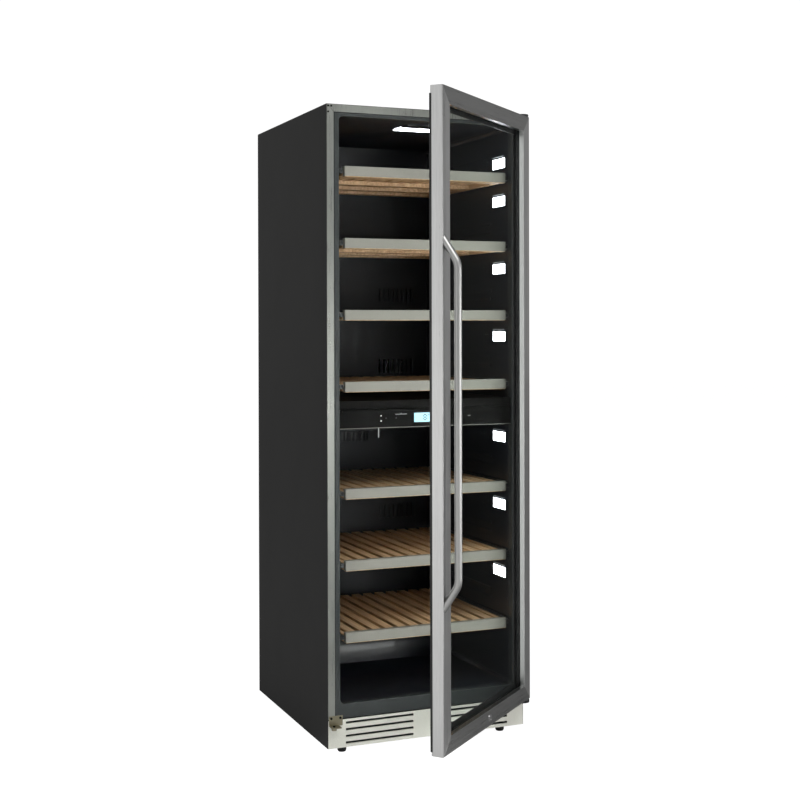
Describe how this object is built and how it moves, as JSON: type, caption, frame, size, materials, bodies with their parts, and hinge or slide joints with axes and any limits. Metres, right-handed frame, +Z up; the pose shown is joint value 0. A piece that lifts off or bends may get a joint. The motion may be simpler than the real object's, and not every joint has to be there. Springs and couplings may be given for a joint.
{
  "type": "wine cooler",
  "caption": "Tall upright cabinet cooler with a hinged glass door, pull-out slatted racks in two zones, a tube handle and a louvred plinth.",
  "frame": {"origin": "on the floor under the centre of the cabinet's footprint, the door not counted", "axes": "+X to the right seen from the front, +Y to the back, +Z up"},
  "size_m": [0.6043, 1.0886, 1.77],
  "materials": {
    "black_panel": "satin near-black powder coat, fine orange peel",
    "dark_sheet": "dark coated sheet steel",
    "plinth_steel": "pale satin coated steel",
    "frame_steel": "metallic grey painted steel",
    "breaker_plastic": "dark grey moulded lip",
    "foam": "rigid polyurethane foam",
    "liner_plastic": "black moulded liner with fine grain",
    "divider_plastic": "black moulded skin over foam",
    "fascia_plastic": "black satin control fascia",
    "display": "backlit pale cyan window",
    "board": "green circuit board",
    "lens": "lit white diffuser",
    "rail_steel": "black coated rail",
    "compressor_paint": "black gloss enamel",
    "coil_paint": "dark coated fins",
    "fin_aluminium": "bare aluminium fins",
    "copper": "bare copper tube",
    "tray_plastic": "pale moulded tray",
    "inlet_plastic": "black moulded inlet",
    "hinge_paint": "black coated steel plate",
    "bracket_steel": "zinc plated steel, yellowish",
    "screw_steel": "plated screws",
    "fan_plastic": "black moulded fan",
    "foot_plastic": "black moulded foot",
    "stainless": "lengthwise brushed stainless steel",
    "core_plastic": "black moulded frame",
    "glass": "clear coated glass",
    "spacer_black": "black spacer bar",
    "gasket_rubber": "black magnetic gasket",
    "handle_steel": "brushed stainless tube",
    "lock_chrome": "bright chrome",
    "rack_trim_metal": "satin warm grey trim",
    "beech": "untreated beech slats"
  },
  "bodies": {
    "cabinet": {"left_side_panel": "black_panel", "right_side_panel": "black_panel", "top_panel": "black_panel", "rear_panel": "dark_sheet", "base_pan": "dark_sheet", "plinth_grille": "plinth_steel", "face_frame": "frame_steel", "breaker_frame": "breaker_plastic", "foam_insulation": "foam", "inner_liner": "liner_plastic", "zone_divider": "divider_plastic", "control_fascia": "fascia_plastic", "display_window": "display", "control_board": "board", "upper_duct_cover": "liner_plastic", "lower_duct_cover": "liner_plastic", "evaporators": "fin_aluminium", "light_lenses": "lens", "outer_rails": "rail_steel", "compressor": "compressor_paint", "condenser": "coil_paint", "refrigerant_lines": "copper", "drip_tray": "tray_plastic", "power_inlet": "inlet_plastic", "top_hinge_plate": "hinge_paint", "bottom_hinge_plate": "hinge_paint", "spare_hinge_bracket": "bracket_steel", "cabinet_screws": "screw_steel"},
    "door": {"door_free_stile": "stainless", "door_hinge_stile": "stainless", "door_top_rail": "stainless", "door_bottom_rail": "stainless", "door_core": "core_plastic", "door_outer_glass": "glass", "door_inner_glass": "glass", "glass_spacer": "spacer_black", "door_gasket": "gasket_rubber", "door_handle": "handle_steel"},
    "lock": {"lock_barrel": "lock_chrome"},
    "upper_fan_wheel": {"upper_fan": "fan_plastic"},
    "lower_fan_wheel": {"lower_fan": "fan_plastic"},
    "condenser_fan_wheel": {"condenser_fan": "fan_plastic"},
    "foot_front_left": {"foot_front_left": "foot_plastic"},
    "foot_front_right": {"foot_front_right": "foot_plastic"},
    "foot_rear_left": {"foot_rear_left": "foot_plastic"},
    "foot_rear_right": {"foot_rear_right": "foot_plastic"},
    "rack_1": {"rack_1_trim": "rack_trim_metal", "rack_1_slats": "beech"},
    "rack_2": {"rack_2_trim": "rack_trim_metal", "rack_2_slats": "beech"},
    "rack_3": {"rack_3_trim": "rack_trim_metal", "rack_3_slats": "beech"},
    "rack_4": {"rack_4_trim": "rack_trim_metal", "rack_4_slats": "beech"},
    "rack_5": {"rack_5_trim": "rack_trim_metal", "rack_5_slats": "beech"},
    "rack_6": {"rack_6_trim": "rack_trim_metal", "rack_6_slats": "beech"},
    "rack_7": {"rack_7_trim": "rack_trim_metal", "rack_7_slats": "beech"}
  },
  "joints": [
    {"name": "door_hinge", "type": "hinge", "parent": "cabinet", "child": "door", "pos_m": [0.2865, -0.34204, 0.93275], "axis": [0, 0, 1], "range_deg": [-41, 74]},
    {"name": "lock_turn", "type": "hinge", "parent": "door", "child": "lock", "pos_m": [0.08226, -0.54378, 0.1243], "axis": [-0.6561, 0.7547, 0], "range_deg": [0, 90]},
    {"name": "upper_fan_spin", "type": "hinge", "parent": "cabinet", "child": "upper_fan_wheel", "pos_m": [0, 0.264, 1.297], "axis": [0, 1, 0], "continuous": true},
    {"name": "lower_fan_spin", "type": "hinge", "parent": "cabinet", "child": "lower_fan_wheel", "pos_m": [0, 0.264, 0.613], "axis": [0, 1, 0], "continuous": true},
    {"name": "condenser_fan_spin", "type": "hinge", "parent": "cabinet", "child": "condenser_fan_wheel", "pos_m": [0.1185, 0.22, 0.117], "axis": [1, 0, 0], "continuous": true},
    {"name": "foot_front_left_height", "type": "slide", "parent": "cabinet", "child": "foot_front_left", "axis": [0, 0, -1], "range_m": [0, 0.015]},
    {"name": "foot_front_right_height", "type": "slide", "parent": "cabinet", "child": "foot_front_right", "axis": [0, 0, -1], "range_m": [0, 0.015]},
    {"name": "foot_rear_left_height", "type": "slide", "parent": "cabinet", "child": "foot_rear_left", "axis": [0, 0, -1], "range_m": [0, 0.015]},
    {"name": "foot_rear_right_height", "type": "slide", "parent": "cabinet", "child": "foot_rear_right", "axis": [0, 0, -1], "range_m": [0, 0.015]},
    {"name": "rack_1_slide", "type": "slide", "parent": "cabinet", "child": "rack_1", "axis": [0, -1, 0], "range_m": [0, 0.03]},
    {"name": "rack_2_slide", "type": "slide", "parent": "cabinet", "child": "rack_2", "axis": [0, -1, 0], "range_m": [0, 0.03]},
    {"name": "rack_3_slide", "type": "slide", "parent": "cabinet", "child": "rack_3", "axis": [0, -1, 0], "range_m": [0, 0.03]},
    {"name": "rack_4_slide", "type": "slide", "parent": "cabinet", "child": "rack_4", "axis": [0, -1, 0], "range_m": [0, 0.03]},
    {"name": "rack_5_slide", "type": "slide", "parent": "cabinet", "child": "rack_5", "axis": [0, -1, 0], "range_m": [0, 0.03]},
    {"name": "rack_6_slide", "type": "slide", "parent": "cabinet", "child": "rack_6", "axis": [0, -1, 0], "range_m": [0, 0.03]},
    {"name": "rack_7_slide", "type": "slide", "parent": "cabinet", "child": "rack_7", "axis": [0, -1, 0], "range_m": [0, 0.03]}
  ]
}
